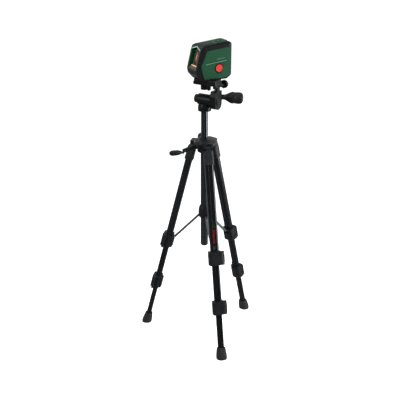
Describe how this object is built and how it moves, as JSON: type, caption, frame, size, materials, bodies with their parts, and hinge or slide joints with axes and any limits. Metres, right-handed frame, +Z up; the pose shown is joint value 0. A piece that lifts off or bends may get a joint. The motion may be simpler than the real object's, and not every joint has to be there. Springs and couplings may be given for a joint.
{
  "type": "laser level on tripod",
  "caption": "Self-levelling line laser on a folding tripod with telescoping legs, sliding spreader, cranked column and pan-tilt head.",
  "frame": {"origin": "middle of the whole object's footprint box, on the floor", "axes": "+Z up, the laser's window looks along -Y, +X to the laser's right-hand panel with the round button"},
  "size_m": [0.38, 0.39, 1.0094],
  "materials": {
    "moulded_dark": "satin moulded nylon",
    "tube_black": "black anodised",
    "tube_slate": "dark anodised",
    "clamp_black": "satin",
    "lever_black": "semi-gloss",
    "rubber_black": "matt",
    "knob_black": "fine texture",
    "steel_bright": "zinc plated",
    "rack_nylon": "moulded",
    "head_black": "satin",
    "shell_grey": "fine texture",
    "panel_green": "satin",
    "button_red": "silicone",
    "window_red": "tinted",
    "sill_amber": "frosted",
    "pendulum_brass": "machined",
    "ring_aluminium": "machined",
    "cell_wrap": "printed wrap",
    "board_green": "solder mask"
  },
  "bodies": {
    "shoulder_frame": {"shoulder": "moulded_dark", "leg_pins": "steel_bright", "guide_tube": "tube_black"},
    "spreader": {"spreader_hub": "moulded_dark"},
    "leg_a": {"socket_a": "moulded_dark", "upper_tube_a": "tube_black", "clamp_upper_a": "clamp_black"},
    "clamp_lever_upper_a": {"lever_upper_a": "lever_black"},
    "mid_leg_a": {"mid_tube_a": "tube_slate", "clamp_lower_a": "clamp_black"},
    "clamp_lever_lower_a": {"lever_lower_a": "lever_black"},
    "low_leg_a": {"lower_tube_a": "tube_slate", "foot_a": "rubber_black"},
    "spreader_strut_a": {"strut_a": "tube_black"},
    "leg_b": {"socket_b": "moulded_dark", "upper_tube_b": "tube_black", "clamp_upper_b": "clamp_black"},
    "clamp_lever_upper_b": {"lever_upper_b": "lever_black"},
    "mid_leg_b": {"mid_tube_b": "tube_slate", "clamp_lower_b": "clamp_black"},
    "clamp_lever_lower_b": {"lever_lower_b": "lever_black"},
    "low_leg_b": {"lower_tube_b": "tube_slate", "foot_b": "rubber_black"},
    "spreader_strut_b": {"strut_b": "tube_black"},
    "leg_c": {"socket_c": "moulded_dark", "upper_tube_c": "tube_black", "clamp_upper_c": "clamp_black"},
    "clamp_lever_upper_c": {"lever_upper_c": "lever_black"},
    "mid_leg_c": {"mid_tube_c": "tube_slate", "clamp_lower_c": "clamp_black"},
    "clamp_lever_lower_c": {"lever_lower_c": "lever_black"},
    "low_leg_c": {"lower_tube_c": "tube_slate", "foot_c": "rubber_black"},
    "spreader_strut_c": {"strut_c": "tube_black"},
    "column": {"column_tube": "tube_black", "column_rack": "rack_nylon"},
    "crank": {"crank_pinion": "steel_bright", "crank_arm": "clamp_black"},
    "crank_grip": {"crank_knob": "knob_black"},
    "column_lock": {"column_lock_knob": "knob_black"},
    "pan_base": {"head_base": "head_black"},
    "tilt_lock": {"tilt_lock_knob": "knob_black"},
    "tilt_head": {"tilt_arm": "head_black"},
    "handle": {"pan_handle": "knob_black"},
    "camera_platform": {"platform": "head_black"},
    "flip_lock": {"flip_lock_knob": "knob_black"},
    "mounting_screw": {"camera_screw": "knob_black"},
    "laser": {"laser_housing": "shell_grey", "laser_chassis": "shell_grey", "side_panels": "panel_green", "front_bezel": "panel_green", "window_glass": "window_red", "sill_lens": "sill_amber", "battery_cells": "cell_wrap", "circuit_board": "board_green"},
    "button": {"mode_button": "button_red"},
    "switch": {"lock_switch": "button_red"},
    "battery_door": {"battery_cover": "shell_grey"},
    "ring": {"gimbal_ring": "ring_aluminium"},
    "laser_pendulum": {"pendulum": "pendulum_brass"}
  },
  "joints": [
    {"name": "leg_fold_a", "type": "hinge", "parent": "shoulder_frame", "child": "leg_a", "pos_m": [0.00422, -0.02921, 0.675], "axis": [0.2079, 0.9781, 0], "range_deg": [0, 14.3]},
    {"name": "mid_extend_a", "type": "slide", "parent": "leg_a", "child": "mid_leg_a", "axis": [0.2416, -0.0514, -0.969], "range_m": [-0.118, 0.15]},
    {"name": "low_extend_a", "type": "slide", "parent": "mid_leg_a", "child": "low_leg_a", "axis": [0.2416, -0.0514, -0.969], "range_m": [-0.105, 0.15]},
    {"name": "lever_upper_open_a", "type": "hinge", "parent": "leg_a", "child": "clamp_lever_upper_a", "pos_m": [0.10636, -0.02597, 0.32878], "axis": [-0.2416, 0.0514, 0.969], "range_deg": [0, 100]},
    {"name": "lever_lower_open_a", "type": "hinge", "parent": "mid_leg_a", "child": "clamp_lever_lower_a", "pos_m": [0.14408, -0.03593, 0.16844], "axis": [-0.2416, 0.0514, 0.969], "range_deg": [0, 100]},
    {"name": "strut_turn_a", "type": "hinge", "parent": "spreader", "child": "spreader_strut_a", "pos_m": [-0.01241, -0.02567, 0.426], "axis": [0.2079, 0.9781, 0], "range_deg": [-1, 46]},
    {"name": "leg_fold_b", "type": "hinge", "parent": "shoulder_frame", "child": "leg_b", "pos_m": [-0.04341, 0.01367, 0.675], "axis": [-0.9511, -0.309, 0], "range_deg": [0, 14.3]},
    {"name": "mid_extend_b", "type": "slide", "parent": "leg_b", "child": "mid_leg_b", "axis": [-0.0763, 0.2349, -0.969], "range_m": [-0.118, 0.15]},
    {"name": "low_extend_b", "type": "slide", "parent": "mid_leg_b", "child": "low_leg_b", "axis": [-0.0763, 0.2349, -0.969], "range_m": [-0.105, 0.15]},
    {"name": "lever_upper_open_b", "type": "hinge", "parent": "leg_b", "child": "clamp_lever_upper_b", "pos_m": [-0.09728, 0.10052, 0.32878], "axis": [0.0763, -0.2349, 0.969], "range_deg": [0, 100]},
    {"name": "lever_lower_open_b", "type": "hinge", "parent": "mid_leg_b", "child": "clamp_lever_lower_b", "pos_m": [-0.10751, 0.13816, 0.16844], "axis": [0.0763, -0.2349, 0.969], "range_deg": [0, 100]},
    {"name": "strut_turn_b", "type": "hinge", "parent": "spreader", "child": "spreader_strut_b", "pos_m": [-0.03815, -0.00249, 0.426], "axis": [-0.9511, -0.309, 0], "range_deg": [-1, 46]},
    {"name": "leg_fold_c", "type": "hinge", "parent": "shoulder_frame", "child": "leg_c", "pos_m": [-0.05673, -0.04901, 0.675], "axis": [0.7431, -0.6691, 0], "range_deg": [0, 14.3]},
    {"name": "mid_extend_c", "type": "slide", "parent": "leg_c", "child": "mid_leg_c", "axis": [-0.1653, -0.1836, -0.969], "range_m": [-0.118, 0.15]},
    {"name": "low_extend_c", "type": "slide", "parent": "mid_leg_c", "child": "low_leg_c", "axis": [-0.1653, -0.1836, -0.969], "range_m": [-0.105, 0.15]},
    {"name": "lever_upper_open_c", "type": "hinge", "parent": "leg_c", "child": "clamp_lever_upper_c", "pos_m": [-0.105, -0.13909, 0.32878], "axis": [0.1653, 0.1836, 0.969], "range_deg": [0, 100]},
    {"name": "lever_lower_open_c", "type": "hinge", "parent": "mid_leg_c", "child": "clamp_lever_lower_c", "pos_m": [-0.13249, -0.16677, 0.16844], "axis": [0.1653, 0.1836, 0.969], "range_deg": [0, 100]},
    {"name": "strut_turn_c", "type": "hinge", "parent": "spreader", "child": "spreader_strut_c", "pos_m": [-0.04536, -0.03638, 0.426], "axis": [0.7431, -0.6691, 0], "range_deg": [-1, 46]},
    {"name": "hub_slide", "type": "slide", "parent": "shoulder_frame", "child": "spreader", "axis": [0, 0, 1], "range_m": [0, 0.028]},
    {"name": "column_lift", "type": "slide", "parent": "shoulder_frame", "child": "column", "axis": [0, 0, 1], "range_m": [-0.085, 0.165]},
    {"name": "crank_turn", "type": "hinge", "parent": "shoulder_frame", "child": "crank", "pos_m": [-0.01461, -0.02521, 0.677], "axis": [-0.2079, -0.9781, 0], "range_deg": [-1262, 651]},
    {"name": "crank_knob_spin", "type": "hinge", "parent": "crank", "child": "crank_grip", "pos_m": [0.01493, -0.03148, 0.67096], "axis": [-0.2079, -0.9781, 0], "continuous": true},
    {"name": "column_lock_turn", "type": "hinge", "parent": "shoulder_frame", "child": "column_lock", "pos_m": [-0.03197, -0.02151, 0.691], "axis": [-0.9781, 0.2079, 0], "continuous": true},
    {"name": "pan", "type": "hinge", "parent": "column", "child": "pan_base", "pos_m": [-0.03197, -0.02151, 0.8], "axis": [0, 0, 1], "continuous": true},
    {"name": "tilt", "type": "hinge", "parent": "pan_base", "child": "tilt_head", "pos_m": [-0.03197, -0.02151, 0.825], "axis": [0.8572, 0.515, 0], "range_deg": [-30, 90]},
    {"name": "tilt_lock_turn", "type": "hinge", "parent": "tilt_head", "child": "tilt_lock", "pos_m": [-0.03197, -0.02151, 0.825], "axis": [0.8572, 0.515, 0], "continuous": true},
    {"name": "handle_twist", "type": "hinge", "parent": "tilt_head", "child": "handle", "pos_m": [-0.0049, 0.01692, 0.835], "axis": [0.2059, 0.9686, -0.1392], "continuous": true},
    {"name": "platform_flip", "type": "hinge", "parent": "tilt_head", "child": "camera_platform", "pos_m": [0.00831, 0.00269, 0.872], "axis": [-0.515, 0.8572, 0], "range_deg": [0, 90]},
    {"name": "flip_lock_turn", "type": "hinge", "parent": "camera_platform", "child": "flip_lock", "pos_m": [0.00831, 0.00269, 0.872], "axis": [-0.515, 0.8572, 0], "continuous": true},
    {"name": "camera_screw_turn", "type": "hinge", "parent": "camera_platform", "child": "mounting_screw", "pos_m": [-0.03197, -0.02151, 0.88], "axis": [0, 0, 1], "continuous": true},
    {"name": "laser_swivel", "type": "hinge", "parent": "camera_platform", "child": "laser", "pos_m": [-0.03197, -0.02151, 0.893], "axis": [0, 0, 1], "continuous": true},
    {"name": "button_press", "type": "slide", "parent": "laser", "child": "button", "axis": [-1, 0, 0], "range_m": [0, 0.0018], "stiffness_N_per_m": 400},
    {"name": "switch_slide", "type": "slide", "parent": "laser", "child": "switch", "axis": [0, 1, 0], "range_m": [0, 0.008]},
    {"name": "battery_door_open", "type": "hinge", "parent": "laser", "child": "battery_door", "pos_m": [-0.03197, 0.05588, 0.9152], "axis": [-1, 0, 0], "range_deg": [0, 95]},
    {"name": "ring_swing", "type": "hinge", "parent": "laser", "child": "ring", "pos_m": [-0.03197, -0.00951, 0.972], "axis": [1, 0, 0], "range_deg": [-4, 4]},
    {"name": "pendulum_swing", "type": "hinge", "parent": "ring", "child": "laser_pendulum", "pos_m": [-0.03197, -0.00951, 0.972], "axis": [0, 1, 0], "range_deg": [-4, 4]}
  ],
  "couplings": [
    {"joint": "strut_turn_a", "follows": "leg_fold_a", "ratio": 3.1354},
    {"joint": "strut_turn_b", "follows": "leg_fold_a", "ratio": 3.1354},
    {"joint": "leg_fold_b", "follows": "leg_fold_a", "ratio": 1},
    {"joint": "strut_turn_c", "follows": "leg_fold_a", "ratio": 3.1354},
    {"joint": "leg_fold_c", "follows": "leg_fold_a", "ratio": 1},
    {"joint": "hub_slide", "follows": "leg_fold_a", "m_per_rad": 0.11005},
    {"joint": "crank_turn", "follows": "column_lift", "rad_per_m": -133.33}
  ]
}
